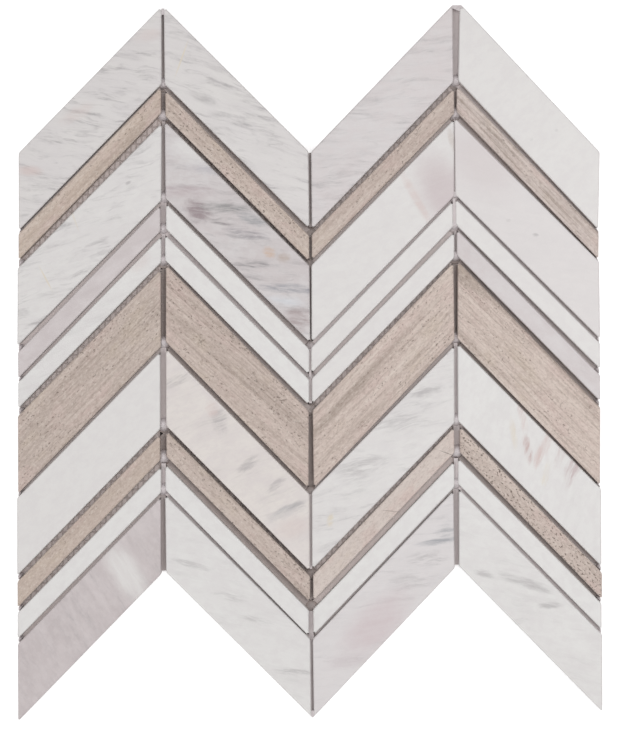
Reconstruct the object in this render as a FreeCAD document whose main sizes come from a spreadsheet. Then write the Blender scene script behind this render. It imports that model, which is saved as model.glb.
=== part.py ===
import FreeCAD, Part
import math
import os
import Sketcher

# Chevron mosaic sheet: forty mitred marble strips in four columns of ten, glued
# face up on a glass-fibre net. It lies flat: +Z out of its face, +Y towards the
# peaks, +X to the right, with the origin under the middle of its back.

doc = FreeCAD.newDocument("chevron_mosaic_sheet")

# Driving dimensions, in millimetres and degrees
SIZES = {
    "narrow_strip": 10.0,
    "broad_strip": 30.0,
    "stone_width": 79.4,
    "stone_thickness": 8.0,
    "mitre_angle": 45.6,
    # corners are worn back more at the sharp tips than at the blunt ones, and less
    # where a sharp tip points outward on the sheet's sides and lower rim
    "sharp_nip": 1.8,
    "rim_nip": 1.0,
    "blunt_nip": 0.6,
    "worn_nip": 3.0,
    "eased_arris": 0.5,
    # grout joints along the slope, one for each column
    "first_joint": 2.3,
    "second_joint": 2.2,
    "third_joint": 2.2,
    "fourth_joint": 2.05,
    # upright seams between the columns
    "first_seam": 2.6,
    "second_seam": 1.7,
    "third_seam": 1.7,
    # columns lean to the right a little, in degrees
    "column_lean": 0.15,
    # glass-fibre net: warp yarns run up the sheet, weft yarns run across it
    "warp_pitch": 3.0,
    "warp_width": 1.0,
    "weft_pitch": 4.7,
    "weft_width": 0.9,
    "yarn_thickness": 0.25,
    "net_inset": 3.0,
}

# Strips from the top row down: sawn width and kind of stone
ROWS = (
    ("broad", "white"),
    ("narrow", "wood"),
    ("broad", "white"),
    ("narrow", "white"),
    ("narrow", "white"),
    ("broad", "wood"),
    ("broad", "white"),
    ("narrow", "wood"),
    ("narrow", "white"),
    ("broad", "white"),
)

# Columns from the left: each strip's slope, +1 where it rises to the right
COLUMNS = ("first", "second", "third", "fourth")
RISES = (1, -1, 1, -1)

# Stones are pressed down by hand and lie a little off their places. For each column
# from the top row down: the share of a seam that a stone moved right, the share of a
# joint that it moved up, and the share of a joint by which one end rose over the
# other, counted anticlockwise
SLIPS = {
    "first": (
        (0.3, -0.1, -0.1), (0.2, 0.3, 0), (0.1, -0.3, -0.5), (0, -0.3, 0.1), (0.1, -0.1, -0.2),
        (0, -0.4, -0.1), (-0.2, -0.2, -0.2), (-0.2, -0.2, 0), (-0.1, -0.2, -0.3), (-0.1, 0, -0.1)),
    "second": (
        (0, -0.1, 0.3), (0.2, -0.3, 0), (0.2, -0.1, 0.3), (0.2, -0.1, -0.2), (0, 0, 0.1),
        (0, 0.1, -0.4), (0.1, 0, -0.1), (0.2, 0.1, -0.1), (-0.2, -0.3, -0.2), (0.1, 0, 0.4)),
    "third": (
        (-0.1, -0.1, 0.2), (0.1, -0.1, -0.1), (0, 0, -0.2), (-0.3, 0.1, 0.1), (0, 0.2, -0.1),
        (0.1, 0.2, 0.5), (-0.1, 0.3, -0.1), (0, 0.4, 0.4), (0, -0.1, 0.4), (-0.1, 0.2, 0.5)),
    "fourth": (
        (0.2, -0.1, -1.4), (-0.3, 0, -0.7), (-0.5, 0.2, 0.4), (-0.4, 0.4, 0.3), (-0.2, 0.3, -0.2),
        (-0.1, 0.1, -0.5), (0, 0.2, -0.1), (0.4, 0, -0.6), (0, 0, -0.1), (0.2, 0, -0.2)),
}

# The one stone whose upper tip is broken away further than the others
WORN_STONE = (4, 1)


# Spreadsheet and expressions

sizes = doc.addObject("Spreadsheet::Sheet", "sizes")
for line, (name, value) in enumerate(SIZES.items(), start=1):
    sizes.set(f"A{line}", name)
    sizes.set(f"B{line}", str(value))
    sizes.setAlias(f"B{line}", name)
doc.recompute()

SLOPE = "tan(sizes.mitre_angle * 1 deg)"
ACROSS = "cos(sizes.mitre_angle * 1 deg)"


def value_of(text):
    """Number that an expression on the sheet gives now."""
    return float(sizes.evalExpression(text))


def column_centre(column):
    """x of a column's middle: the columns and seams are laid out about x = 0."""
    seams = [f"sizes.{name}_seam" for name in COLUMNS[:-1]]
    signs = ["+" if seam < column else "-" for seam in range(len(seams))]
    spread = " ".join(f"{sign} {seam}" for sign, seam in zip(signs, seams))
    return f"({column - 1.5} * sizes.stone_width + (0 {spread}) / 2)"


def strips_above(column, row):
    """Sawn widths and joints from the top of the column down to a row's upper edge."""
    broad = sum(1 for width, kind in ROWS[:row] if width == "broad")
    narrow = row - broad
    joint = f"sizes.{COLUMNS[column]}_joint"
    return f"({broad} * sizes.broad_strip + {narrow} * sizes.narrow_strip + {row} * {joint})"


def column_stack(column):
    """Whole column measured square to its strips, with no joint under the last one."""
    return f"({strips_above(column, len(ROWS))} - sizes.{COLUMNS[column]}_joint)"


# The first column is the longest, so it centres the sheet over the origin
TOP_LINE = f"({column_stack(0)} / 2 / {ACROSS})"


def bottom_line(column):
    """y at mid-width of the lower edge of a column's last stone."""
    return f"({TOP_LINE} - {column_stack(column)} / {ACROSS})"


def row_centre(column, row):
    """y of a stone's middle, stepped down the slope from the top line."""
    half_strip = f"sizes.{ROWS[row][0]}_strip / 2"
    return f"({TOP_LINE} - ({strips_above(column, row)} + {half_strip}) / {ACROSS})"


# Sketch helpers

def new_sketch(body, name):
    """Empty sketch on the body's own XY plane."""
    plane = next(item for item in body.Origin.OriginFeatures if item.Role == "XY_Plane")
    sketch = body.newObject("Sketcher::SketchObject", name)
    sketch.AttachmentSupport = [(plane, "")]
    sketch.MapMode = "FlatFace"
    return sketch


def closed_outline(sketch, points):
    """Loop of lines joined end to end; returns the index of its first line."""
    first = sketch.GeometryCount
    count = len(points)
    for index in range(count):
        start = FreeCAD.Vector(*points[index], 0)
        end = FreeCAD.Vector(*points[(index + 1) % count], 0)
        sketch.addGeometry(Part.LineSegment(start, end))
    for index in range(count):
        following = first + (index + 1) % count
        sketch.addConstraint(Sketcher.Constraint("Coincident", first + index, 2, following, 1))
    return first


def dimension(sketch, *arguments, text):
    """Dimension whose value follows an expression on the sheet."""
    index = sketch.addConstraint(Sketcher.Constraint(*arguments, value_of(text)))
    sketch.setExpression(f"Constraints[{index}]", text)


def pin_start(sketch, line, x_text, y_text):
    """Holds the start of a line at a place worked out from the sheet."""
    for direction, text in (("DistanceX", x_text), ("DistanceY", y_text)):
        if value_of(text) < 0:
            dimension(sketch, direction, line, 1, -1, 1, text=f"-({text})")
        else:
            dimension(sketch, direction, -1, 1, line, 1, text=text)


# Stones

def parallelogram(sketch, rise, strip_text):
    """Mitred strip about the sketch's origin: two upright ends, two sloping sawn sides."""
    half_width = SIZES["stone_width"] / 2
    climb = rise * half_width * math.tan(math.radians(SIZES["mitre_angle"]))
    half_end = value_of(strip_text) / 2 / math.cos(math.radians(SIZES["mitre_angle"]))
    lower, right, upper, left = range(4)
    closed_outline(sketch, (
        (-half_width, -climb - half_end),
        (half_width, climb - half_end),
        (half_width, climb + half_end),
        (-half_width, -climb + half_end),
    ))
    sketch.addConstraint(Sketcher.Constraint("Vertical", right))
    sketch.addConstraint(Sketcher.Constraint("Vertical", left))
    sketch.addConstraint(Sketcher.Constraint("Parallel", lower, upper))
    sketch.addConstraint(Sketcher.Constraint("Symmetric", lower, 1, upper, 1, -1, 1))
    angle = sketch.addConstraint(
        Sketcher.Constraint("Angle", lower, rise * math.radians(SIZES["mitre_angle"])))
    sketch.setExpression(f"Constraints[{angle}]", f"{rise} * sizes.mitre_angle * 1 deg")
    dimension(sketch, "DistanceX", lower, 1, lower, 2, text="sizes.stone_width")
    dimension(sketch, "Distance", upper, 1, lower, text=strip_text)


def edge_names(feature, chosen):
    """Names of a feature's edges that pass a test."""
    edges = enumerate(feature.Shape.Edges, start=1)
    return [f"Edge{number}" for number, edge in edges if chosen(edge.BoundBox)]


def upright_edges(feature, chosen):
    """Corner edges that run through the thickness, picked by their y."""
    middle = feature.Shape.BoundBox.ZMax / 2
    return edge_names(feature, lambda box: box.ZLength > middle and chosen(box.Center.y))


def rim_edges(feature):
    """Edges round the upper face."""
    middle = feature.Shape.BoundBox.ZMax / 2
    return edge_names(feature, lambda box: box.ZMin > middle)


def chamfer(body, name, base, edges, size):
    """Flat cut along some edges of the feature before it."""
    cut = body.newObject("PartDesign::Chamfer", name)
    cut.Base = (base, edges)
    cut.setExpression("Size", f"sizes.{size}")
    doc.recompute()
    return cut


def stone(column, row):
    """One sawn strip: nipped corners, eased upper arris, seated on the net."""
    width, kind = ROWS[row]
    body = doc.addObject("PartDesign::Body", f"column{column + 1}_row{row + 1:02d}_{width}_{kind}")

    face = new_sketch(body, "face")
    parallelogram(face, RISES[column], f"sizes.{width}_strip")
    slab = body.newObject("PartDesign::Pad", "slab")
    slab.Profile = face
    slab.setExpression("Length", "sizes.stone_thickness")
    doc.recompute()

    climb = value_of(f"sizes.stone_width / 2 * {SLOPE}")
    worn = (column + 1, row + 1) == WORN_STONE
    on_rim = column in (0, len(COLUMNS) - 1) or row == len(ROWS) - 1
    nips = (("upper_tip", "worn_nip" if worn else "sharp_nip", lambda y: y > climb),
            ("lower_tip", "rim_nip" if on_rim else "sharp_nip", lambda y: y < -climb),
            ("blunt_tips", "blunt_nip", lambda y: abs(y) < climb))
    blank = slab
    for name, size, chosen in nips:
        blank = chamfer(body, name, blank, upright_edges(blank, chosen), size)
    chamfer(body, "arris", blank, rim_edges(blank), "eased_arris")

    right, up, turn = SLIPS[COLUMNS[column]][row]
    seam = f"sizes.{COLUMNS[min(column, len(COLUMNS) - 2)]}_seam"
    joint = f"sizes.{COLUMNS[column]}_joint"
    leant = f"{row_centre(column, row)} * tan(sizes.column_lean * 1 deg)"
    tilt = f"asin({turn} * {joint} * {ACROSS} / sizes.stone_width)"
    body.Placement.Rotation = FreeCAD.Rotation(FreeCAD.Vector(0, 0, 1), value_of(tilt))
    body.setExpression(".Placement.Rotation.Angle", tilt)
    body.setExpression(".Placement.Base.x",
                       f"{column_centre(column)} + {right} * {seam} + {leant}")
    body.setExpression(".Placement.Base.y", f"{row_centre(column, row)} + {up} * {joint} / {ACROSS}")
    body.setExpression(".Placement.Base.z", "2 * sizes.yarn_thickness")
    return body


# Glass-fibre net

def net_outline():
    """Corners of the net as expression pairs: the sheet's zigzag, cut back all round."""
    columns = range(len(COLUMNS))
    half_climb = f"(sizes.stone_width / 2 * {SLOPE})"
    inset = f"sizes.net_inset / {ACROSS}"

    left = f"({column_centre(0)} - sizes.stone_width / 2 + sizes.net_inset)"
    right = f"({column_centre(columns[-1])} + sizes.stone_width / 2 - sizes.net_inset)"
    seams = [f"({column_centre(k)} + sizes.stone_width / 2 + sizes.{COLUMNS[k]}_seam / 2)"
             for k in columns[:-1]]
    across = [left, *seams, right]

    top = []
    bottom = []
    for place in range(len(across)):
        rise = "-" if place % 2 == 0 else "+"
        beside = [k for k in (place - 1, place) if k in columns]
        lowest = " ; ".join(bottom_line(k) for k in beside)
        top.append(f"{TOP_LINE} {rise} {half_climb} - {inset}")
        bottom.append(f"max({lowest}) {rise} {half_climb} + {inset}")
    return list(zip(across, bottom)) + list(zip(reversed(across), reversed(top)))


def sheet_width():
    """Overall width over the four columns and their seams."""
    seams = " + ".join(f"sizes.{name}_seam" for name in COLUMNS[:-1])
    return f"({len(COLUMNS)} * sizes.stone_width + {seams})"


def sheet_height():
    """Overall height from the peaks to the lowest tips."""
    return f"({column_stack(0)} / {ACROSS} + sizes.stone_width * {SLOPE})"


def rectangle(sketch, corner, extent):
    """Upright rectangle from its lower left corner, both given as expression pairs."""
    x, y = (value_of(text) for text in corner)
    width, height = (value_of(text) for text in extent)
    points = ((x, y), (x + width, y), (x + width, y + height), (x, y + height))
    lower = closed_outline(sketch, points)
    for step, direction in enumerate(("Horizontal", "Vertical", "Horizontal", "Vertical")):
        sketch.addConstraint(Sketcher.Constraint(direction, lower + step))
    dimension(sketch, "DistanceX", lower, 1, lower, 2, text=extent[0])
    dimension(sketch, "DistanceY", lower + 1, 1, lower + 1, 2, text=extent[1])
    pin_start(sketch, lower, *corner)


def yarn_layer(yarn, level_text):
    """One layer of the net: flat parallel yarns, cut off along the sheet's zigzag."""
    body = doc.addObject("PartDesign::Body", f"net_{yarn}_yarns")
    body.AllowCompound = True
    body.setExpression(".Placement.Base.z", level_text)

    width = f"sizes.{yarn}_width"
    pitch = f"sizes.{yarn}_pitch"
    # a weft yarn right at the tips would be too short to hold, so one is left off each end
    reach = sheet_width() if yarn == "warp" else f"{sheet_height()} - 2 * {pitch}"
    # an odd count, so that one yarn runs through the middle
    half_count = f"floor(({reach} - 2 * sizes.net_inset - {width}) / 2 / {pitch})"
    count = f"(2 * {half_count} + 1)"
    start = f"(-(({count} - 1) * {pitch} + {width}) / 2)"
    if yarn == "warp":
        corner, extent = (start, f"-{sheet_height()} / 2"), (width, sheet_height())
    else:
        corner, extent = (f"-{sheet_width()} / 2", start), (sheet_width(), width)

    outline = new_sketch(body, f"first_{yarn}")
    rectangle(outline, corner, extent)
    strand = body.newObject("PartDesign::Pad", f"{yarn}_strand")
    strand.Profile = outline
    strand.setExpression("Length", "sizes.yarn_thickness")
    doc.recompute()

    strands = body.newObject("PartDesign::LinearPattern", f"{yarn}_strands")
    strands.Originals = [strand]
    strands.Direction = (outline, ["H_Axis" if yarn == "warp" else "V_Axis"])
    strands.Mode = "Spacing"
    strands.setExpression("Offset", pitch)
    strands.setExpression("Occurrences", count)
    body.Tip = strands
    doc.recompute()

    offcut = new_sketch(body, f"{yarn}_offcut")
    rectangle(offcut, (f"-{sheet_width()}", f"-{sheet_height()}"),
              (f"2 * {sheet_width()}", f"2 * {sheet_height()}"))
    corners = net_outline()
    first = closed_outline(offcut, [(value_of(x), value_of(y)) for x, y in corners])
    for index, (x, y) in enumerate(corners):
        pin_start(offcut, first + index, x, y)
    trim = body.newObject("PartDesign::Pocket", f"{yarn}_trim")
    trim.Profile = offcut
    trim.Type = "ThroughAll"
    trim.Midplane = True
    body.Tip = trim
    return body


# Assembly

def main():
    pieces = [yarn_layer("warp", "0"), yarn_layer("weft", "sizes.yarn_thickness")]
    pieces += [stone(column, row) for row in range(len(ROWS)) for column in range(len(COLUMNS))]
    doc.recompute()

    for item in doc.Objects:
        if "Invalid" in item.State or "Error" in item.State:
            raise RuntimeError(f"{item.Label} did not recompute: {item.State}")
    for piece in pieces:
        if piece.Shape.isNull() or not piece.Shape.isValid():
            raise RuntimeError(f"{piece.Label} has no valid shape")

    os.makedirs("parts", exist_ok=True)
    for piece in pieces:
        piece.Shape.exportStep(f"parts/{piece.Label}.step")
    print(f"{len(pieces)} pieces written")


main()
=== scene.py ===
import math
import random

import bpy
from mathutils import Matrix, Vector


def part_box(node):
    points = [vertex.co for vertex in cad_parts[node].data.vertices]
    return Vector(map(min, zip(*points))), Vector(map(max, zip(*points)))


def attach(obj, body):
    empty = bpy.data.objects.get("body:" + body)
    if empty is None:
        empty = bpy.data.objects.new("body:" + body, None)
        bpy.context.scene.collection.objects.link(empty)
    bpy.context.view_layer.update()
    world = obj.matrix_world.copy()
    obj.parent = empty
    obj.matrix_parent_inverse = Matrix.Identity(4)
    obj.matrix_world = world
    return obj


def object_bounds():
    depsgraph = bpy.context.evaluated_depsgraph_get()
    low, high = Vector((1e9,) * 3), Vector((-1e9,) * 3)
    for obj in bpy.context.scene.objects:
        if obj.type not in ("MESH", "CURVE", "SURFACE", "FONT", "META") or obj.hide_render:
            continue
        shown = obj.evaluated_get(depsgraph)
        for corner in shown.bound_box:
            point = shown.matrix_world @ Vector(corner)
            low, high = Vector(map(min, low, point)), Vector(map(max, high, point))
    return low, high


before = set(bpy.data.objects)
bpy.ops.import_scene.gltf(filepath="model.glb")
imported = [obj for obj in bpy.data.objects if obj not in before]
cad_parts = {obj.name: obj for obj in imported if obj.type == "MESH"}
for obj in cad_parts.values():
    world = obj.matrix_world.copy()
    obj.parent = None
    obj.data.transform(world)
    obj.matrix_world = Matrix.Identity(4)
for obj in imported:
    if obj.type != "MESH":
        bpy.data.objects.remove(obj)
cad_low, cad_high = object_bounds()

# White marble stones: the broad strips of rows 1, 3, 7 and 10 and the narrow ones of rows 4, 5
# and 9. Each is sawn from a honed slab of a pale dolomitic marble and mitred at both ends, so
# every stone shows its own piece of the slab, with the bedding at its own slant.
MM = 0.001
STONE_TOP = cad_high.z / MM
STONE_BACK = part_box("net_weft_yarns")[1].z / MM
# the round that handling leaves on a sawn arris, in mm
STONE_ARRIS = 0.22


def stone_name(column, row):
    """The node of a stone: columns count from the left, rows from the top."""
    return next(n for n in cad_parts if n.startswith(f"column{column}_row{row:02d}_"))


def tone(red, green, blue):
    """A colour as a mixer would name it, 0 to 255 a channel, made linear for the shader."""
    channels = [c / 255 for c in (red, green, blue)]
    linear = [c / 12.92 if c <= 0.04045 else ((c + 0.055) / 1.055) ** 2.4 for c in channels]
    return (*linear, 1.0)


class Socket:
    """One number in a finish. Arithmetic on it adds the Math nodes."""

    def __init__(self, finish, output):
        self.finish = finish
        self.output = output

    def math(self, operation, *values):
        return self.finish.node("ShaderNodeMath", {"operation": operation}, dict(enumerate(values)))

    def __add__(self, other):
        return self.math("ADD", self, other)

    def __sub__(self, other):
        return self.math("SUBTRACT", self, other)

    def __mul__(self, other):
        return self.math("MULTIPLY", self, other)

    def __truediv__(self, other):
        return self.math("DIVIDE", self, other)

    def __rsub__(self, other):
        return self.math("SUBTRACT", other, self)

    def __abs__(self):
        return self.math("ABSOLUTE", self)

    __radd__ = __add__
    __rmul__ = __mul__


class Finish:
    """A material, and the nodes that are laid into it."""

    def __init__(self, name):
        self.material = bpy.data.materials.new(name)
        self.material.use_nodes = True
        self.tree = self.material.node_tree
        self.shader = self.tree.nodes["Principled BSDF"]
        self.object_point = self.node("ShaderNodeTexCoord", output="Object")

    def node(self, kind, settings=None, values=None, output=0):
        """Adds one node: its settings first, then a value or a link for each socket."""
        made = self.tree.nodes.new(kind)
        for name, value in (settings or {}).items():
            setattr(made, name, value)
        for name, value in (values or {}).items():
            if isinstance(value, Socket):
                self.tree.links.new(value.output, made.inputs[name])
            else:
                made.inputs[name].default_value = value
        return Socket(self, made.outputs[output])

    def place(self, x, y, turn, length, width, depth=None):
        """Points from (x, y) mm, in steps of length along the turn and of width across it."""
        scale = [MM * length, MM * width, MM * (depth or width)]
        return self.node("ShaderNodeMapping", {"vector_type": "TEXTURE"},
                         {"Vector": self.object_point, "Location": (x * MM, y * MM, 0),
                          "Rotation": (0, 0, math.radians(turn)), "Scale": scale})

    def noise(self, point, seed, detail=3.0, roughness=0.5, distortion=0.0, output=0):
        return self.node("ShaderNodeTexNoise", {"noise_dimensions": "4D"},
                         {"Vector": point, "W": seed, "Scale": 1.0, "Detail": detail,
                          "Roughness": roughness, "Distortion": distortion}, output)

    def step(self, value, start, end):
        """0 up to start, 1 from end on, and a smooth rise between."""
        return self.node("ShaderNodeMapRange", {"interpolation_type": "SMOOTHSTEP"},
                         {"Value": value, "From Min": start, "From Max": end})

    def mix(self, share, first, second):
        """Colours: first where the share is 0, second where it is 1."""
        return self.node("ShaderNodeMix", {"data_type": "RGBA"},
                         {"Factor": share, 6: first, 7: second}, 2)

    def height(self):
        """Height over the floor, in mm."""
        return self.node("ShaderNodeSeparateXYZ", {}, {0: self.object_point}, "Z") / MM

    def patch(self, x, y, length, width, turn, ragged, seed):
        """1 in the middle of an oval patch, 0 outside it, with an edge broken by noise."""
        reach = self.node("ShaderNodeVectorMath", {"operation": "LENGTH"},
                          {0: self.place(x, y, turn, length, width, 1000)}, "Value")
        if ragged:
            edge = self.noise(self.place(x, y, turn, length * 0.35, width * 0.35), seed, 4.0, 0.6)
            reach = reach + (edge - 0.5) * ragged
        return self.step(reach, 1.0, 0.25)

    def set(self, name, value):
        """Sets one of the shader's own sockets."""
        if isinstance(value, Socket):
            self.tree.links.new(value.output, self.shader.inputs[name])
        else:
            self.shader.inputs[name].default_value = value

    def relief(self, strength, depth, height):
        """Bump of a depth in mm."""
        self.set("Normal", self.node("ShaderNodeBump", {}, {
            "Strength": strength, "Distance": depth * MM, "Height": height}))

    def dress(self, piece, slot):
        """Puts the finish on a piece. The slot is not used."""
        piece.data.materials.clear()
        piece.data.materials.append(self.material)


def soften_edges(node, width, angle):
    """Rounds the edges of a solid by a width in mm. Its loose triangles are joined first."""
    weld = node.modifiers.new("Weld", "WELD")
    weld.merge_threshold = 0.01 * MM
    bevel = node.modifiers.new("Bevel", "BEVEL")
    bevel.width = width * MM
    bevel.segments = 2
    bevel.limit_method = "ANGLE"
    bevel.angle_limit = math.radians(angle)


WHITE = tone(220, 217, 215)
MILK = tone(222, 220, 218)
PEARL = tone(211, 206, 206)
ROSE = tone(207, 198, 198)
MAUVE = tone(192, 182, 182)
LILAC = tone(200, 191, 191)
ASH = tone(152, 147, 148)
SLATE = tone(128, 131, 138)
STORM = tone(132, 128, 130)
BLUSH = tone(205, 186, 182)
STRAW = tone(214, 203, 184)
RUST = tone(168, 148, 134)
GLUE = tone(196, 189, 192)


def sawn_faces(finish, colour, seed):
    """Only the upper face is honed: the sawn sides are chalky, and glue is smeared on the back."""
    height = finish.height()
    sides = finish.step(height, STONE_TOP - 0.12, STONE_TOP - 0.5)
    saw = finish.noise(finish.place(0, 0, 0, 9, 9, 0.35), seed, 2.0)
    colour = finish.mix(sides * (0.1 + 0.2 * saw), colour, tone(214, 210, 209))
    back = finish.step(height, STONE_BACK + 0.25, STONE_BACK + 0.05)
    smear = finish.step(finish.noise(finish.place(0, 0, 30, 9, 6), seed, 5.0, 0.6), 0.42, 0.6)
    return finish.mix(back * smear * 0.7, colour, GLUE), sides


def white_marble(column, row, ground, lie, seed, clouds=0.3, shade=PEARL, brushed=0.1,
                 streaks=0.0, washes=()):
    """The finish of one white stone. The lie is the slant of its bedding, in degrees."""
    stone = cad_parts[stone_name(column, row)]
    finish = Finish(f"white_marble_{column}_{row:02d}")
    x, y = seed * 7.0, seed * 3.0

    drift = finish.noise(finish.place(x, y, lie, 34, 15), seed, 3.0, 0.55, 0.6)
    colour = finish.mix(finish.step(drift, 0.36, 0.68) * clouds, ground, shade)

    sway = finish.noise(finish.place(x, y, lie, 28, 12), seed + 2, 2.0) - 0.5

    def along_beds(length, width, number, detail, roughness):
        """Noise drawn out along the bedding, which sways by a few mm."""
        point = finish.node("ShaderNodeVectorMath", {"operation": "ADD"}, {
            0: finish.place(x, y, lie, length, width),
            1: finish.node("ShaderNodeCombineXYZ", {}, {1: sway * (9.0 / width)})})
        return finish.noise(point, seed + number, detail, roughness)

    bands = finish.step(along_beds(30, 8.0, 5, 3.0, 0.55), 0.42, 0.62)
    silk = along_beds(24, 3.2, 4, 6.0, 0.68)
    colour = finish.mix(finish.step(silk, 0.42, 0.74) * (0.3 + 0.7 * bands) * brushed, colour, ASH)
    ridge = finish.step(abs(along_beds(26, 4.0, 8, 3.0, 0.6) - 0.5), 0.06, 0.0)
    broken_up = finish.step(along_beds(12, 6.0, 9, 3.0, 0.6), 0.46, 0.66)
    colour = finish.mix(ridge * broken_up * streaks * 0.45, colour, STORM)
    cores = finish.step(silk, 0.52, 0.72) * bands
    colour = finish.mix(cores * streaks, colour, STORM)
    mottle = finish.noise(finish.place(x, y, lie, 6, 4), seed + 6, 4.0, 0.65)
    colour = finish.mix(finish.step(mottle, 0.40, 0.62) * 0.4, colour, shade)

    fibre = finish.step(silk * 0.5 + along_beds(11, 1.5, 7, 4.0, 0.65) * 0.5, 0.41, 0.58)
    for px, py, length, width, turn, ragged, stain, amount in washes:
        here = finish.patch(px, py, length, width, turn, ragged, seed + px)
        broken = min(1.0, ragged) ** 2
        colour = finish.mix(here * (fibre * broken + (1 - broken)) * amount, colour, stain)

    crystals = finish.noise(finish.place(0, 0, 0, 0.9, 0.9), seed, 2.0, 0.7)
    colour = finish.mix((crystals - 0.4) * 0.24, colour, tone(236, 234, 232))
    colour, sides = sawn_faces(finish, colour, seed)
    finish.set("Base Color", colour)
    finish.set("Roughness", 0.40 + 0.10 * crystals + 0.3 * sides)
    finish.relief(0.12, 0.1, crystals)
    finish.dress(stone, "white_marble")
    soften_edges(stone, STONE_ARRIS, 20)


# column, row, ground, lie, seed, then what differs; a wash is x, y, length, width, turn,
# raggedness, colour and strength
white_marble(1, 1, tone(216, 212, 210), -7, 1.3, clouds=0.7, brushed=0.6, streaks=0.8, washes=[
    (-155, 107, 10, 4, -4, 0.5, BLUSH, 0.7), (-128, 139, 14, 5, 30, 0.7, BLUSH, 0.35),
    (-88, 182, 12, 5, 10, 0.6, BLUSH, 0.35), (-99, 170, 12, 2.5, -12, 0.8, ASH, 0.4)])
white_marble(2, 1, tone(216, 212, 210), -17, 2.1, clouds=0.5, brushed=0.5, streaks=0.7, washes=[
    (-70, 169, 14, 0.7, 70, 0.3, STRAW, 0.8), (-58, 146, 13, 3, -25, 0.8, ASH, 0.5),
    (-51, 163, 8, 2, -20, 0.8, ASH, 0.4)])
white_marble(3, 1, PEARL, 4, 3.2, clouds=0.7, shade=ROSE, brushed=0.6, streaks=0.3)
white_marble(4, 1, WHITE, 40, 4.4, clouds=0.15, brushed=0.05, washes=[
    (124, 123, 1.6, 1.2, 20, 0.8, ASH, 0.25), (138, 128, 1.4, 1.2, 0, 0.8, ASH, 0.2),
    (106, 137, 5, 3, 50, 0.8, PEARL, 0.6)])
white_marble(1, 3, WHITE, 16, 5.1, clouds=0.4, brushed=0.3, streaks=0.65, washes=[
    (-100, 100, 2.5, 1.2, 30, 0.6, ASH, 0.6), (-118, 67, 9, 1.6, 22, 0.8, ASH, 0.5),
    (-146, 47, 10, 0.7, -62, 0.3, STRAW, 0.8), (-152, 22, 9, 1.5, 20, 0.8, ASH, 0.4),
    (-130, 80, 9, 0.7, -70, 0.4, STRAW, 0.5)])
white_marble(2, 3, tone(208, 203, 203), -5, 6.3, clouds=0.45, shade=MAUVE, brushed=0.6,
             streaks=0.6, washes=[
    (-62, 118, 24, 12, -30, 0.6, MILK, 0.7), (-67, 127, 16, 3, 5, 0.9, MAUVE, 0.6),
    (-57, 108, 16, 5, -6, 0.9, tone(168, 164, 172), 0.6),
    (-67, 95, 20, 5, -3, 0.8, tone(170, 152, 156), 0.75),
    (-62, 85, 11, 8, -45, 0.8, tone(134, 116, 120), 0.85),
    (-46, 86, 19, 4.5, -5, 0.8, tone(122, 120, 120), 0.9),
    (-32, 80, 13, 4.5, -28, 0.8, tone(136, 138, 142), 0.8),
    (-48, 77, 9, 1.1, -8, 0.7, tone(100, 92, 94), 0.8),
    (-35, 72, 16, 4.5, -12, 0.9, tone(134, 128, 134), 0.8),
    (-22, 61, 4, 5, 60, 0.8, tone(196, 164, 138), 0.7), (-14, 58, 5, 4, 10, 0.8, RUST, 0.6),
    (-32, 54, 17, 3.4, 3, 0.9, tone(122, 118, 120), 0.85),
    (-11, 41, 21, 3.6, -3, 0.9, tone(122, 124, 134), 0.85),
    (-13, 34, 15, 4, -8, 0.7, tone(210, 214, 220), 0.6),
    (-6, 24, 11, 8, -30, 0.8, tone(150, 132, 132), 0.8)])
white_marble(3, 3, WHITE, 20, 7.7, clouds=0.2, brushed=0.1, washes=[
    (77, 92, 36, 20, -60, 0.3, tone(198, 186, 187), 0.95), (59, 92, 25, 3.4, -61, 0.7, BLUSH, 0.6),
    (80, 123, 10, 3, -75, 0.7, RUST, 0.35)])
white_marble(4, 3, tone(217, 212, 211), -12, 8.2, clouds=0.3, brushed=0.1, washes=[
    (96, 112, 34, 22, -45, 0.3, ROSE, 0.75), (126, 70, 2.4, 1.4, -10, 0.8, ASH, 0.5),
    (111, 78, 2.0, 1.2, 0, 0.8, ASH, 0.3)])
white_marble(1, 4, tone(209, 201, 201), 30, 9.4, clouds=0.7, shade=MAUVE, brushed=0.15)
white_marble(2, 4, MILK, -40, 10.5, clouds=0.1, brushed=0.03)
white_marble(3, 4, WHITE, 40, 11.6, clouds=0.1, brushed=0.03)
white_marble(4, 4, WHITE, -40, 12.7, clouds=0.1, brushed=0.03)
white_marble(1, 5, MILK, 20, 13.8, clouds=0.3, brushed=0.3, washes=[
    (-94, 56, 10, 6, 45, 0.5, BLUSH, 0.3)])
white_marble(2, 5, MILK, -40, 14.9, clouds=0.1, brushed=0.05)
white_marble(3, 5, WHITE, 40, 15.2, clouds=0.2, brushed=0.05)
white_marble(4, 5, LILAC, -30, 16.3, clouds=0.7, shade=PEARL, brushed=0.15)
white_marble(1, 7, WHITE, 45, 17.4, clouds=0.12, brushed=0.04)
white_marble(2, 7, tone(221, 214, 209), 22, 18.5, clouds=0.35, shade=ROSE, brushed=0.15,
             streaks=0.15, washes=[
    (-74, -10, 12, 4, 25, 0.9, ASH, 0.5), (-50, -32, 6, 10, 10, 0.9, ASH, 0.6),
    (-54, -26, 5, 6, 10, 0.8, BLUSH, 0.7), (-34, -56, 9, 4, 40, 0.9, ASH, 0.5),
    (-19, -68, 9, 3, 40, 0.9, ASH, 0.55), (-14, -83, 17, 3.8, 26, 0.8, SLATE, 0.55),
    (-7, -80, 7, 4, 20, 0.9, ASH, 0.4), (-10, -92, 15, 8, 20, 0.5, BLUSH, 0.4)])
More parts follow.
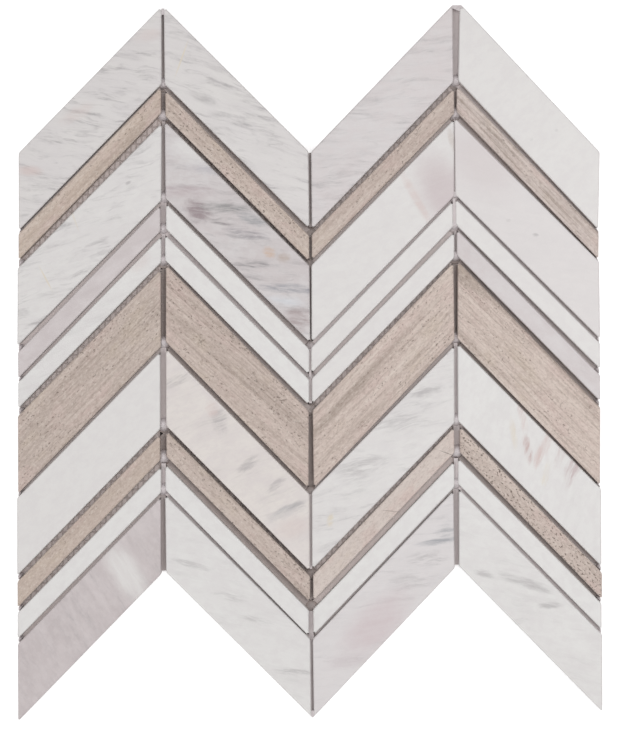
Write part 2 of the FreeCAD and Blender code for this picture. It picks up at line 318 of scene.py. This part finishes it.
white_marble(3, 7, WHITE, 14, 19.6, clouds=0.35, brushed=0.25, streaks=0.4, washes=[
    (50, -34, 20, 8, 12, 1.0, ASH, 0.4), (29, -58, 20, 8, 14, 1.0, ASH, 0.45),
    (65, -16, 12, 5, 16, 1.0, ASH, 0.5), (11, -88, 5, 2.5, 80, 0.8, STRAW, 0.8)])
white_marble(4, 7, MILK, 72, 20.7, clouds=0.25, brushed=0.12, washes=[
    (121, -49, 11, 3, -80, 0.9, tone(182, 152, 148), 0.8),
    (127, -53, 10, 3, 74, 0.9, BLUSH, 0.9), (133, -42, 14, 4, 74, 0.9, BLUSH, 0.7),
    (118, -30, 14, 3, -80, 0.9, BLUSH, 0.6), (140, -50, 16, 4, 72, 0.9, tone(196, 180, 178), 0.6),
    (113, -40, 12, 2.5, -82, 0.9, STRAW, 0.6), (131, -62, 10, 3, 76, 0.9, STRAW, 0.5),
    (146, -60, 13, 5, 72, 0.9, tone(184, 164, 164), 0.85)])
white_marble(1, 9, MILK, 45, 21.8, clouds=0.1, brushed=0.03)
white_marble(2, 9, MILK, -40, 22.9, clouds=0.15, brushed=0.05)
white_marble(3, 9, MILK, 45, 23.1, clouds=0.08, brushed=0.03)
white_marble(4, 9, MILK, -45, 24.2, clouds=0.08, brushed=0.03)
white_marble(1, 10, tone(189, 179, 179), -58, 25.3, clouds=0.55, shade=ROSE, brushed=0.3,
             streaks=0.25, washes=[
    (-102, -117, 28, 11, -57, 0.5, WHITE, 0.95), (-118, -128, 20, 3, -57, 0.8, ROSE, 0.8)])
white_marble(2, 10, MILK, -13, 26.4, clouds=0.25, brushed=0.15, streaks=0.1, washes=[
    (-66, -112, 15, 2.6, -16, 0.9, ASH, 0.45), (-45, -130, 14, 3, -10, 1.0, ASH, 0.35),
    (-30, -143, 12, 3, -12, 1.0, ASH, 0.35), (-9, -172, 14, 2.4, -4, 0.9, ASH, 0.55)])
white_marble(3, 10, tone(216, 211, 211), 8, 27.5, clouds=0.3, brushed=0.25, streaks=0.2, washes=[
    (77, -93, 11, 6, 30, 0.9, SLATE, 0.5), (71, -100, 17, 2.6, 9, 0.8, SLATE, 0.7),
    (64, -110, 16, 6, 6, 1.0, ASH, 0.45), (56, -122, 18, 6, 4, 1.0, ASH, 0.35),
    (36, -146, 32, 15, 42, 0.5, tone(203, 189, 191), 0.85),
    (20, -166, 18, 6, 10, 0.8, tone(200, 190, 192), 0.6)])
white_marble(4, 10, MILK, -14, 28.6, clouds=0.25, brushed=0.15, streaks=0.1, washes=[
    (119, -123, 20, 4, -17, 0.8, ASH, 0.5), (126, -127, 10, 1.8, -17, 0.7, ASH, 0.5),
    (133, -136, 9, 2.4, 2, 0.8, ASH, 0.55), (114, -145, 8, 2.4, 10, 0.9, ASH, 0.5),
    (96, -118, 8, 2.6, -15, 0.9, ASH, 0.5)])

# Wood-vein marble stones: the narrow strips of rows 2 and 8 and the broad ones of row 6, a
# taupe limestone marble sawn across its bedding, so that thin dark and light beds run along
# each strip like wood grain, with small open pits strung along them.
TAUPE = tone(190, 173, 163)
SAND = tone(193, 175, 162)
UMBER = tone(142, 126, 115)
OAT = tone(216, 203, 193)
PIT = tone(84, 72, 64)


def wood_vein_marble(column, row, ground, lie, seed, bands=0.5, lines=0.5, pits=0.5, washes=()):
    """The finish of one taupe stone. The lie is the slant of its grain, in degrees."""
    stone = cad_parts[stone_name(column, row)]
    finish = Finish(f"wood_vein_marble_{column}_{row:02d}")
    x, y = seed * 7.0, seed * 3.0

    broad = finish.noise(finish.place(x, y, lie, 150, 5.5), seed, 3.0, 0.5)
    colour = finish.mix(finish.step(broad, 0.48, 0.64) * bands, ground, UMBER)
    colour = finish.mix(finish.step(broad, 0.47, 0.33) * bands, colour, OAT)
    patches = finish.noise(finish.place(x, y, lie, 26, 11), seed + 2, 3.0, 0.6)
    colour = finish.mix(finish.step(patches, 0.50, 0.66) * 0.6, colour, tone(199, 177, 170))
    colour = finish.mix(finish.step(patches, 0.46, 0.32) * 0.4, colour, tone(192, 176, 159))

    fine = finish.noise(finish.place(x, y, lie, 34, 1.1), seed + 3, 4.0, 0.6)
    colour = finish.mix(finish.step(fine, 0.49, 0.66) * lines * 0.85, colour, UMBER)
    colour = finish.mix(finish.step(fine, 0.47, 0.34) * lines * 0.5, colour, OAT)
    flecks = finish.noise(finish.place(x, y, lie, 2.6, 1.0), seed + 4, 3.0, 0.7)
    speckled = min(1.0, 0.6 + lines)
    colour = finish.mix(finish.step(flecks, 0.50, 0.66) * 0.32 * speckled, colour, UMBER)
    colour = finish.mix(finish.step(flecks, 0.48, 0.34) * 0.28 * speckled, colour, OAT)

    for px, py, length, width, turn, ragged, stain, amount in washes:
        here = finish.patch(px, py, length, width, turn, ragged, seed + px)
        colour = finish.mix(here * amount, colour, stain)

    holes = finish.noise(finish.place(x, y, lie + 6, 1.7, 0.95), seed + 5, 2.0, 0.6)
    strings = finish.noise(finish.place(x, y, lie, 24, 5), seed + 7, 3.0, 0.6)
    open_pits = (finish.step(holes, 0.615 - 0.055 * pits, 0.675 - 0.055 * pits)
                 * finish.step(strings, 0.54 - 0.24 * pits, 0.66 - 0.20 * pits))
    colour = finish.mix(open_pits * (0.35 + 0.5 * pits), colour, PIT)

    grit = finish.noise(finish.place(x, y, lie, 1.6, 0.9), seed, 3.0, 0.75)
    colour = finish.mix(finish.step(grit, 0.50, 0.70) * 0.45, colour, tone(222, 212, 202))
    colour = finish.mix(finish.step(grit, 0.48, 0.30) * 0.38, colour, UMBER)
    colour, sides = sawn_faces(finish, colour, seed)
    finish.set("Base Color", colour)
    finish.set("Roughness", 0.50 + 0.12 * grit + 0.3 * open_pits)
    finish.relief(0.35, 0.2, grit * 0.3 + fine * 0.4 - open_pits)
    finish.dress(stone, "wood_vein_marble")
    soften_edges(stone, STONE_ARRIS, 20)


wood_vein_marble(1, 2, SAND, 45, 31.3, bands=0.3, lines=0.3, pits=0.4)
wood_vein_marble(2, 2, TAUPE, -45, 32.1, bands=0.35, lines=0.45, pits=0.62)
wood_vein_marble(3, 2, tone(188, 171, 162), 45, 33.4, bands=0.35, lines=0.35, pits=0.35)
wood_vein_marble(4, 2, tone(209, 195, 189), -46, 34.7, bands=0.3, lines=0.9, pits=0.3)
wood_vein_marble(1, 6, tone(190, 174, 165), 45, 35.2, bands=0.22, lines=0.5, pits=0.5)
wood_vein_marble(2, 6, tone(195, 178, 169), -42, 36.5, bands=0.3, lines=0.55, pits=0.55)
wood_vein_marble(3, 6, tone(201, 184, 175), 45, 37.8, bands=0.45, lines=0.45, pits=0.4, washes=[
    (37, -2, 62, 3.4, 47, 0.4, UMBER, 0.38), (32, 0, 28, 1.0, 46, 0.3, OAT, 0.6),
    (45, -8, 40, 2.2, 46, 0.4, OAT, 0.35)])
wood_vein_marble(4, 6, tone(203, 186, 177), -45, 38.9, bands=0.6, lines=0.5, pits=0.4)
wood_vein_marble(1, 8, tone(188, 171, 160), 45, 39.1, bands=0.15, lines=0.15, pits=0.15)
wood_vein_marble(2, 8, tone(193, 177, 168), -45, 40.4, bands=0.25, lines=0.4, pits=0.58)
wood_vein_marble(3, 8, tone(207, 194, 187), 45, 41.7, bands=0.12, lines=0.1, pits=0.1, washes=[
    (76, -51, 6, 0.35, -20, 0.2, PIT, 0.7), (68, -48.5, 4, 0.3, -8, 0.2, PIT, 0.5),
    (45, -83, 7, 0.35, -6, 0.2, PIT, 0.5)])
wood_vein_marble(4, 8, tone(194, 178, 169), -45, 42.8, bands=0.2, lines=0.25, pits=0.9)

# Backing net: open glass-fibre cloth, with warp yarns up the sheet and weft yarns laid across
# them, stiffened with resin. It holds the stones at their joints and shows at the bottom of
# the open ones.
WARP_PITCH, WEFT_PITCH = 3.0, 4.7
YARN_ROUND = 0.09
YARN = tone(226, 219, 221)
YARN_DARK = tone(202, 193, 196)
# a darker tone, for the yarns' upper side and for rungs in the resin at the yarns' pitch
DARKENED_YARN = tone(171, 159, 155)


def glass_yarn(name, turn, seed):
    """The finish of one set of yarns. The turn is the way that they run, in degrees."""
    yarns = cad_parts[name]
    finish = Finish(name + "_glass_fibre")
    twist = finish.noise(finish.place(0, 0, turn + 25, 1.6, 0.22), seed, 3.0, 0.6)
    resin = finish.noise(finish.place(0, 0, turn, 5, 4), seed + 1, 3.0, 0.6)
    colour = finish.mix(finish.step(twist, 0.35, 0.65), YARN_DARK, YARN)
    colour = finish.mix(finish.step(resin, 0.45, 0.65) * 0.6, colour, GLUE)
    # the side of the yarns that faces up is darker
    facing = finish.node("ShaderNodeSeparateXYZ", {}, {
        0: finish.node("ShaderNodeNewGeometry", output="Normal")}, "Z")
    colour = finish.mix(finish.step(facing, 0.3, 0.7), colour, DARKENED_YARN)
    finish.set("Base Color", colour)
    finish.set("Roughness", 0.45 + 0.3 * twist)
    finish.relief(0.5, 0.1, twist)
    finish.dress(yarns, "glass_net")
    soften_edges(yarns, YARN_ROUND, 30)


glass_yarn("net_warp_yarns", 90, 51.0)
glass_yarn("net_weft_yarns", 0, 52.0)

# Joint adhesive: the thin coat of resin that holds the net to the stones. It was rolled on
# through the net, so it lies in the bottom of every joint and is squeezed out a little
# underneath the stones on both sides.
MITRE = math.radians(45.6)
# which way the strips of each column climb: 1 up to the right, -1 up to the left
RISES = (1, -1, 1, -1)
# in mm: how far the film runs under the stones, and how deep the resin that stands between
# them wets their sides
SQUEEZED_OUT, JOINT_WETTED, SEAM_WETTED = 0.5, 0.02, 0.05
FILM_BOTTOM, FILM_TOP = 0.03, 0.17
# what stands on the film starts a little inside it
ON_FILM = FILM_TOP - 0.02
# every fill starts as a block longer and wider than a joint, and is cut by the stones
BLOCK_LENGTH, BLOCK_WIDTH = 130, 8
# a joint's resin laps into the seams, and stops short of the sheet's outer edges
LAP, SHORT_OF_EDGE = 0.2, 0.3
# how far the resin of each seam runs past its stones: at the junctions, at the top and bottom rim
PAST_STONES = 0.6
PAST_TOP_RIM = {1: -1.5, 2: 0.5, 3: 2.0}
PAST_BOTTOM_RIM = {1: -0.3, 2: -1.5, 3: -0.3}
POOL_RADIUS, POOL_LEAST = 3.6, 1.2
# what a high fill of the middle seam leaves free above a junction that was left low
TAIL = 2.4
# how high the resin was pressed up between the stones, in mm: joints not named hold the film only
# the lower the resin stands, the darker the painted shade that its finish gives it
FILLED_JOINTS = {(1, 1): 1.5, (1, 3): 2.2, (1, 4): 2.3, (1, 6): 1.5, (1, 9): 1.6,
                 (2, 1): 1.2, (2, 3): 1.9, (2, 4): 3.9, (2, 5): 1.9, (2, 6): 0.9, (2, 8): 0.6,
                 (2, 9): 4.2, (3, 2): 1.2, (3, 3): 3.2, (3, 4): 2.5, (3, 6): 1.0, (3, 8): 0.6,
                 (3, 9): 2.0, (4, 1): 2.7, (4, 2): 1.8, (4, 3): 4.0, (4, 4): 2.8, (4, 5): 0.6,
                 (4, 6): 1.0, (4, 7): 2.2, (4, 8): 1.3, (4, 9): 4.7}
# and in the seams, from the top row down: less between the taupe stones
FILLED_SEAMS = {1: (2.8, 0, 3.0, 3.6, 4.4, 0, 3.6, 0, 4.8, 2.6),
                2: (2.6, 0.7, 1.8, 6.0, 5.4, 0, 5.0, 0, 4.6, 4.2),
                3: (3.8, 0.8, 6.8, 8.3, 4.0, 0, 4.6, 3.4, 6.2, 3.6)}


def side_facing(column, row, facing):
    """The left and right end of the side of a stone that faces one way, in mm."""
    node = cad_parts[stone_name(column, row)]
    corners = [node.matrix_world @ node.data.vertices[corner].co / MM
               for face in node.data.polygons if face.normal.dot(facing) > 0.99
               for corner in face.vertices]
    return min(corners, key=lambda c: c.x), max(corners, key=lambda c: c.x)


def sawn_side(column, row, up):
    """The left and right end of a stone's upper (1) or lower (-1) sawn side, in mm."""
    slant = MITRE * RISES[column - 1]
    return side_facing(column, row, Vector((-math.sin(slant), math.cos(slant), 0)) * up)


def upright_edge(column, row, right):
    """x of a stone's mitred end, in mm."""
    low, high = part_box(stone_name(column, row))
    return (high.x if right else low.x) / MM


def mitred_end(column, row, right):
    """A point on a stone's mitred end, in mm, and the direction that it faces."""
    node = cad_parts[stone_name(column, row)]
    way = 1 if right else -1
    face = max((f for f in node.data.polygons if f.normal.x * way > 0.99), key=lambda f: f.area)
    return node.matrix_world @ face.center / MM, face.normal.copy()


def between_ends(column, row, spread):
    """Cuts resin off at the two stones that face each other over a seam, or a little in them."""
    for side, right in ((column, True), (column + 1, False)):
        point, out = mitred_end(side, row, right)
        cut_off(point - out * spread, -out)


def on_line(ends, x):
    """y at x of the line through two points."""
    start, end = ends
    return start.y + (end.y - start.y) * (x - start.x) / (end.x - start.x)


def bar(length, width, low, high, turn, x, y):
    """A block of resin, in mm, turned by so many degrees and centred on (x, y)."""
    bpy.ops.object.select_all(action="DESELECT")
    bpy.ops.mesh.primitive_cube_add(size=MM, location=(0, 0, 0))
    bpy.ops.transform.resize(value=(length, width, high - low))
    bpy.ops.transform.rotate(value=-math.radians(turn), orient_axis="Z", center_override=(0, 0, 0))
    bpy.ops.transform.translate(value=(x * MM, y * MM, (high + low) / 2 * MM))
    bpy.ops.object.transform_apply(location=True, rotation=True, scale=True)
    return bpy.context.object


def cut_off(point, normal):
    """Cuts off what lies beyond a point, in mm, and closes the cut."""
    bpy.ops.object.mode_set(mode="EDIT")
    bpy.ops.mesh.select_all(action="SELECT")
    bpy.ops.mesh.bisect(plane_co=[c * MM for c in point], plane_no=normal, clear_outer=True,
                        use_fill=True)
    bpy.ops.object.mode_set(mode="OBJECT")


def drop(x, y, along, across, high, turn=0.0):
    """Half an egg of resin on the film, in mm."""
    bpy.ops.object.select_all(action="DESELECT")
    bpy.ops.mesh.primitive_uv_sphere_add(segments=24, ring_count=16, radius=MM, location=(0, 0, 0))
    bpy.ops.transform.resize(value=(along, across, high))
    bpy.ops.transform.rotate(value=-math.radians(turn), orient_axis="Z", center_override=(0, 0, 0))
    bpy.ops.transform.translate(value=(x * MM, y * MM, ON_FILM * MM))
    bpy.ops.object.transform_apply(location=True, rotation=True, scale=True)
    cut_off((0, 0, ON_FILM), (0, 0, -1))
    return bpy.context.object


def join(pieces, name, finish):
    """Pieces made into one, with its name and material."""
    bpy.ops.object.select_all(action="DESELECT")
    for piece in pieces:
        piece.select_set(True)
    bpy.context.view_layer.objects.active = pieces[0]
    bpy.ops.object.join()
    joined = bpy.context.object
    joined.name = joined.data.name = name
    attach(joined, "root")
    finish.dress(joined, "glass_net")
    return joined


def joint_under(column, row):
    """The two sawn sides that face each other over the joint under a stone."""
    return sawn_side(column, row, -1), sawn_side(column, row + 1, 1)


def middle_at(joint, x):
    """y at x of the middle line of a joint."""
    over, under = joint
    return (on_line(over, x) + on_line(under, x)) / 2


def seam_beside(column, row):
    """x of the middle of the seam at the right of a stone, and its width."""
    left, right = upright_edge(column, row, True), upright_edge(column + 1, row, False)
    return (left + right) / 2, right - left


def junction(column, row):
    """Where the joints of two columns meet in the seam between them."""
    x, width = seam_beside(column, row)
    heights = [middle_at(joint_under(c, row), x) for c in (column, column + 1)]
    return x, sum(heights) / 2


def fill_joint(column, row, high, spread):
    """Resin along the joint under a stone, from seam to seam or to the sheet's edge."""
    over, under = joint_under(column, row)
    x = (over[0].x + over[1].x) / 2
    made = bar(BLOCK_LENGTH, BLOCK_WIDTH, FILM_BOTTOM, high,
               math.degrees(MITRE * RISES[column - 1]), x, middle_at((over, under), x))
    for ends, side in ((over, 1), (under, -1)):
        along = (ends[1] - ends[0]).normalized()
        out = Vector((-along.y, along.x, 0)) * side
        cut_off(ends[0] + out * spread, out)
    if column == 1:
        left = min(upright_edge(1, r, False) for r in (row, row + 1)) + SHORT_OF_EDGE
    else:
        left = seam_beside(column - 1, row)[0] - LAP
    if column == 4:
        right = max(upright_edge(4, r, True) for r in (row, row + 1)) - SHORT_OF_EDGE
    else:
        right = seam_beside(column, row)[0] + LAP
    cut_off((left, 0, 0), (-1, 0, 0))
    cut_off((right, 0, 0), (1, 0, 0))
    return made


# the second peak's outline: from the nipped tip on the left to the broken one on the right
NIP = Vector((1 - math.sin(MITRE), math.cos(MITRE), 0)).normalized()
nipped, broken = side_facing(3, 1, NIP)[0], sawn_side(4, 1, 1)[0]
over_peak = Vector((nipped.y - broken.y, broken.x - nipped.x, 0)).normalized()


def fill_seam(column, row, high, spread):
    """Resin in the seam at the right of a stone, from a little over it to a little under it."""
    x, width = seam_beside(column, row)
    past_top = PAST_TOP_RIM[column] if row == 1 else PAST_STONES
    past_bottom = PAST_BOTTOM_RIM[column] if row == 10 else PAST_STONES
    top = on_line(sawn_side(column, row, 1), x) + past_top
    bottom = on_line(sawn_side(column, row, -1), x) - past_bottom
    if column == 2 and row < 10 and high > 2 and FILLED_SEAMS[2][row] < 1:
        bottom += TAIL
    made = bar(width + 4, top - bottom, FILM_BOTTOM, high, 0, x, (top + bottom) / 2)
    between_ends(column, row, spread)
    if (column, row) == (3, 1):
        cut_off(nipped + over_peak * 0.5, over_peak)
    return made


def pool(column, row):
    """A pool where four stones meet, about as high as the resin beside and below it."""
    fills = FILLED_SEAMS[column]
    beside = sum(FILLED_JOINTS.get((c, row), 0) for c in (column, column + 1)) / 2
    level = min((fills[row - 1] + 2 * fills[row]) / 3, 1.0 + 1.6 * beside)
    return drop(*junction(column, row), POOL_RADIUS, POOL_RADIUS, max(POOL_LEAST, level))


joint_parts, seam_parts = [], []
for column in (1, 2, 3, 4):
    for row in range(1, 10):
        joint_parts.append(fill_joint(column, row, FILM_TOP, SQUEEZED_OUT))
        if (column, row) in FILLED_JOINTS:
            joint_parts.append(fill_joint(column, row, FILLED_JOINTS[column, row], JOINT_WETTED))
for column, fills in FILLED_SEAMS.items():
    for row, fill in enumerate(fills, start=1):
        if row < 10:
            seam_parts.append(pool(column, row))
        seam_parts.append(fill_seam(column, row, FILM_TOP, SQUEEZED_OUT))
        if fill:
            seam_parts.append(fill_seam(column, row, fill, SEAM_WETTED))


def adhesive(name, deep_shade_dark, deep_shade_pale):
    """Resin with painted shade: darker low in its joint, paler high up, and darker rungs at the
    yarns' pitch.
    """
    finish = Finish(name)
    dull = finish.noise(finish.place(0, 0, 0, 3, 3), 61.0, 4.0, 0.6)
    low_shaded = finish.mix(dull, deep_shade_dark, deep_shade_pale)
    thick = finish.mix(dull, tone(184, 174, 174), tone(212, 204, 204))
    # painted shade: the deeper the resin lies between the stones, the darker it is
    colour = finish.mix(finish.step(finish.height(), 0.5, 5.0), low_shaded, thick)
    for axis, pitch in (("X", WARP_PITCH), ("Y", WEFT_PITCH)):
        along = finish.node("ShaderNodeSeparateXYZ", {}, {0: finish.object_point}, axis)
        off_yarn = (along / (pitch * MM) + 0.3 * (dull - 0.5)).math("PINGPONG", 0.5)
        colour = finish.mix(finish.step(off_yarn, 0.26, 0.08) * 0.5, colour, DARKENED_YARN)
    finish.set("Base Color", colour)
    finish.set("Roughness", 0.45 + 0.3 * dull)
    finish.relief(0.4, 0.2, dull)
    return finish


# the first two colours are the painted shade of low resin, darker in the seams
join(joint_parts, "joint_adhesive",
     adhesive("joint_adhesive_resin", tone(186, 173, 169), tone(212, 202, 199)))
join(seam_parts, "seam_adhesive",
     adhesive("seam_adhesive_resin", tone(156, 143, 138), tone(184, 173, 169)))

# Glue dabs: where four stones meet, and at the outer ends of the joints, the resin stood up in
# the wider gap and set as a pale rounded drop. Plugs and caps of it close the open ends of the
# seams at the two peaks and at the tip of the valley point.
random.seed(4)

# how high each drop stands over the joints at the first and third seams, from the top down
DROPS = {1: (6.2, 5.8, 7.6, 7.2, 8.0, 7.6, 7.6, 6.8, 8.1),
         3: (7.6, 6.2, 8.2, 8.3, 7.4, 5.4, 8.2, 8.0, 8.2)}
# how far a drop reaches, on the seams and at the outer ends of the joints, and how far up the
# sheet from its junction, or in from the sheet's edge, its middle is
SEAM_DROP, END_DROP = 3.8, 2.4
ABOVE_JUNCTION, BEHIND_EDGE = 1.4, 0.8
# plugs end under the stones' faces. The one at the valley's point is higher than its neighbour
PLUG_TOP, POINT_TOP = 7.8, 7.9


def seam_drop(column, row, high):
    """A drop on the junction of two joints and a seam."""
    x, y = junction(column, row)
    return drop(x, y + ABOVE_JUNCTION, SEAM_DROP, SEAM_DROP + random.uniform(-0.4, 0.4), high)


def end_drop(column, row, right):
    """A drop in the outer end of a joint, cut off just inside the stones' ends."""
    edges = [upright_edge(column, r, right) for r in (row, row + 1)]
    way = 1 if right else -1
    edge = (min(edges) if right else max(edges)) - way * 0.1
    x = edge - way * BEHIND_EDGE
    over, under = joint_under(column, row)
    width = (on_line(over, x) - on_line(under, x)) * math.cos(MITRE)
    made = drop(x, middle_at((over, under), x), END_DROP, width / 2 - 0.03,
                random.uniform(5.0, 6.5), math.degrees(MITRE) * RISES[column - 1])
    cut_off((edge, 0, 0), (way, 0, 0))
    return made


def plug(column, row, end, length, reach):
    """Closes the end of a seam: end is 1 at the top, -1 at the bottom. Lengths in mm."""
    x, width = seam_beside(column, row)
    tips = [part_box(stone_name(c, row)) for c in (column, column + 1)]
    tip = max(high.y for low, high in tips) if end > 0 else min(low.y for low, high in tips)
    tip = tip / MM + end * reach
    made = bar(width + 4, length, ON_FILM, PLUG_TOP, 0, x, tip - end * length / 2)
    between_ends(column, row, SEAM_WETTED)
    return made


def valley_point():
    """Fills the notch between two nipped tips, out to where the stones' lower sides would meet."""
    x, width = seam_beside(2, 10)
    made = bar(width + 3.6, 4.8, ON_FILM, POINT_TOP, 0, x, on_line(sawn_side(2, 10, -1), x) + 1.6)
    for column, way in ((2, 1), (3, -1)):
        lower = Vector((-way * math.sin(MITRE), -math.cos(MITRE), 0))
        nip = (lower + Vector((way, 0, 0))).normalized()
        near = 1 if way > 0 else 0
        cut_off(sawn_side(column, 10, -1)[near], lower)
        cut_off(side_facing(column, 10, nip)[near], -nip)
    return made


def peak_cap():
    """A thin cap that closes the second peak and makes up its broken tip."""
    left = upright_edge(4, 1, False)
    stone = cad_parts[stone_name(4, 1)]
    corners = [stone.matrix_world @ v.co / MM for v in stone.data.vertices]
    # the break runs from the highest corner on the stone's left end to the broken tip
    start = Vector((left, max(c.y for c in corners if c.x < left + 0.3), 0))
    along = Vector((broken.x - start.x, broken.y - start.y, 0)).normalized()
    into_stone = Vector((along.y, -along.x, 0))
    made = bar(broken.x - nipped.x, BLOCK_WIDTH, ON_FILM, PLUG_TOP, 0,
               (broken.x + nipped.x) / 2, nipped.y - 0.5)
    cut_off(nipped + over_peak * 1.2, over_peak)
    cut_off(nipped, (-math.sin(MITRE), math.cos(MITRE), 0))
    cut_off(broken, (math.sin(MITRE), math.cos(MITRE), 0))
    cut_off(nipped - NIP * SEAM_WETTED, -NIP)
    cut_off(start + into_stone * SEAM_WETTED, into_stone)
    return made


dabs = [seam_drop(column, row, high) for column, heights in DROPS.items()
        for row, high in enumerate(heights, start=1)]
dabs += [end_drop(column, row, column == 4) for column in (1, 4) for row in range(1, 10)]
dabs += [plug(1, 1, 1, 3.5, 0.3), plug(2, 10, -1, 2.6, 0.0), valley_point(), peak_cap()]

set_resin = Finish("glue_dab_resin")
milky = set_resin.noise(set_resin.place(0, 0, 0, 1.5, 1.5), 71.0, 3.0, 0.6)
set_resin.set("Base Color", set_resin.mix(set_resin.step(milky, 0.3, 0.7), tone(192, 183, 184),
                                          tone(208, 201, 202)))
set_resin.set("Roughness", 0.6 + 0.2 * milky)
set_resin.relief(0.4, 0.2, milky)
join(dabs, "glue_dabs", set_resin)
bpy.ops.object.shade_smooth_by_angle(angle=math.radians(50))

# Floor: a plain sheet of white paper on the studio table, wide enough for every view.
bpy.ops.object.select_all(action="DESELECT")
bpy.ops.mesh.primitive_plane_add(size=12, location=(0, 0, -0.0002))
floor = bpy.context.object
floor.name = "floor"
paper = Finish("floor_paper")
paper.set("Base Color", tone(243, 242, 242))
paper.set("Roughness", 0.9)
paper.set("Specular IOR Level", 0.0)
camera_ray = paper.node("ShaderNodeLightPath", output="Is Camera Ray")
glossy_ray = paper.node("ShaderNodeLightPath", output="Is Glossy Ray")
seen = camera_ray.math("MAXIMUM", camera_ray, glossy_ray)
# enough to lift the paper to white where the camera or a reflection sees it, and nowhere else
GLOW = (0.45, 0.45, 0.45, 1)
paper.set("Emission Color", paper.mix(seen, (0, 0, 0, 1), GLOW))
paper.set("Emission Strength", 1.0)
floor.data.materials.append(paper.material)

# Studio light: a broad soft box in front at the left, a smaller one almost overhead at the
# right, a small white card close to the right side, and the even white of the room.
def soft_box(name, azimuth, elevation, distance, diameter, share):
    """A round lamp aimed at the sheet. Its share is of the light that a white surface needs."""
    bpy.ops.object.light_add(type="AREA", location=(0, 0, 0))
    lamp = bpy.context.object
    lamp.name = name
    turn, rise = math.radians(azimuth), math.radians(elevation)
    toward = Vector((math.cos(turn) * math.cos(rise), math.sin(turn) * math.cos(rise),
                     math.sin(rise)))
    lamp.location = toward * distance
    lamp.rotation_euler = toward.to_track_quat("Z", "Y").to_euler()
    lamp.data.shape = "DISK"
    lamp.data.size = diameter
    lamp.data.energy = share * (math.pi * distance) ** 2 / math.sin(rise)
    lamp.visible_camera = False
    return lamp


soft_box("left_soft_box", 225, 50, 3.0, 1.5, 0.26)
soft_box("right_soft_box", 47, 78, 2.2, 0.9, 0.29)
soft_box("right_white_card", 0, 30, 0.6, 0.4, 0.06)

room = bpy.data.worlds.new("room")
bpy.context.scene.world = room
room.use_nodes = True
room_nodes = room.node_tree.nodes
room_light = room_nodes["Background"]
path = room_nodes.new("ShaderNodeLightPath")
seen = room_nodes.new("ShaderNodeMath")
seen.operation = "MAXIMUM"
room.node_tree.links.new(path.outputs["Is Camera Ray"], seen.inputs[0])
room.node_tree.links.new(path.outputs["Is Glossy Ray"], seen.inputs[1])
white = room_nodes.new("ShaderNodeMix")
white.data_type = "RGBA"
white.inputs[6].default_value = (0.36, 0.36, 0.36, 1)
white.inputs[7].default_value = (1, 1, 1, 1)
room.node_tree.links.new(seen.outputs[0], white.inputs["Factor"])
room.node_tree.links.new(white.outputs[2], room_light.inputs["Color"])

# Camera: a long lens straight above the sheet, a little low and left of its middle.
bpy.ops.object.camera_add(location=(-0.01009, -0.0153, 1.5),
                          rotation=[math.radians(a) for a in (0.313, -0.5446, -0.3211)])
camera = bpy.context.object
camera.data.sensor_width = 36
camera.data.lens = 128.983
camera.data.clip_start, camera.data.clip_end = 0.05, 30
bpy.context.scene.camera = camera
bpy.context.scene.view_settings.view_transform = "Standard"
